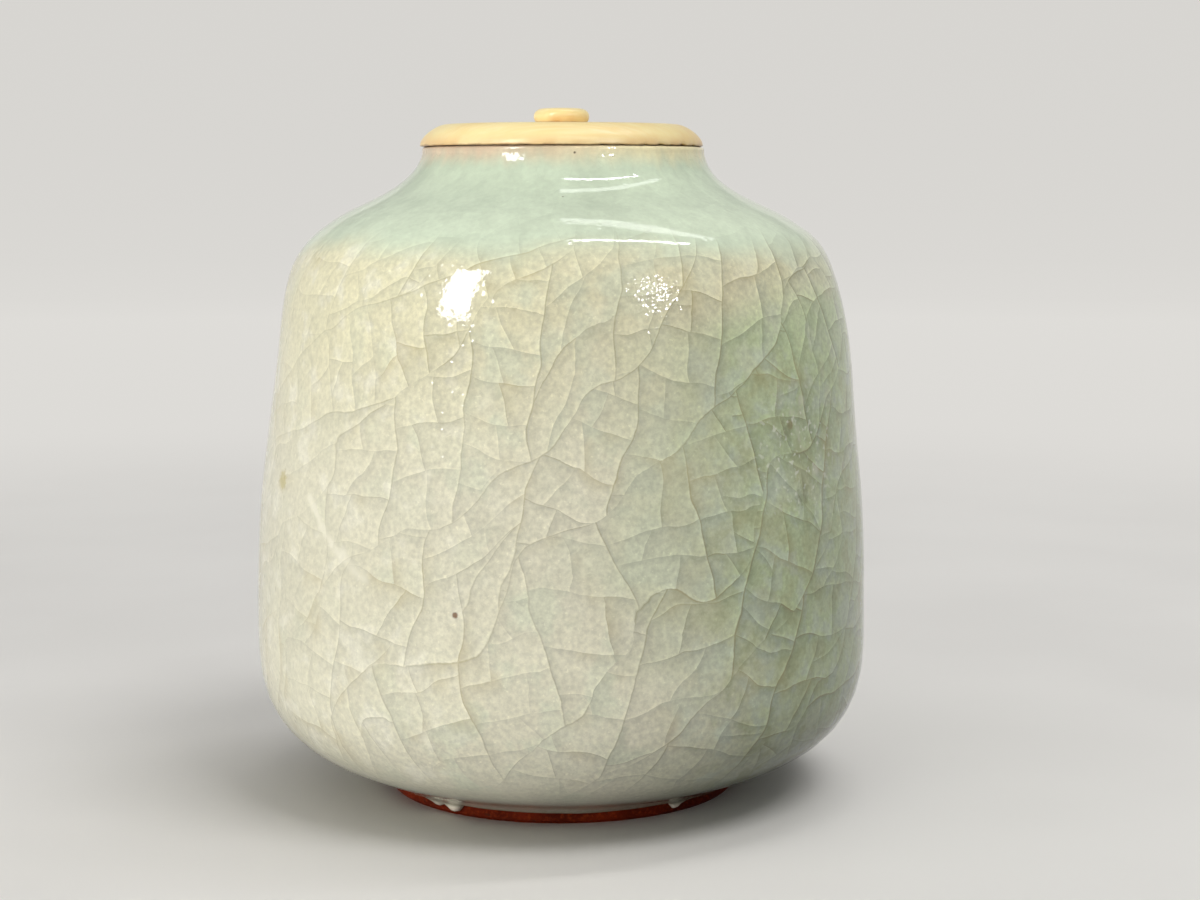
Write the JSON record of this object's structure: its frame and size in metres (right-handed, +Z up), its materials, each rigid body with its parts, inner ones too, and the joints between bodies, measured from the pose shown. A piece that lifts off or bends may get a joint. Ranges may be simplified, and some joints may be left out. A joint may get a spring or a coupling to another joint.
{
  "type": "tea storage jar",
  "caption": "Small wheel-thrown stoneware jar for powdered tea, with a crackled celadon glaze, a flat foot, a short neck and a turned lid with a button knob that lifts straight off.",
  "frame": {"origin": "middle of the foot, on the surface that the jar stands on", "axes": "+Z up along the axis of the pot, -Y towards the side that the picture shows"},
  "size_m": [0.07, 0.07, 0.0777],
  "materials": {
    "stoneware": "bare, fired red-brown, matt",
    "celadon": "glossy, pale grey-green with fine crackle",
    "lid_resin": "turned and polished, ivory coloured",
    "gilded_paper": "gold leaf, satin"
  },
  "bodies": {
    "jar": {"stoneware_body": "stoneware", "celadon_glaze": "celadon"},
    "lid": {"lid_plate": "lid_resin", "lid_knob": "lid_resin", "lid_lining": "gilded_paper"}
  },
  "joints": [
    {"name": "lid_lift", "type": "slide", "parent": "jar", "child": "lid", "axis": [0, 0, 1], "range_m": [0, 0.04]}
  ]
}
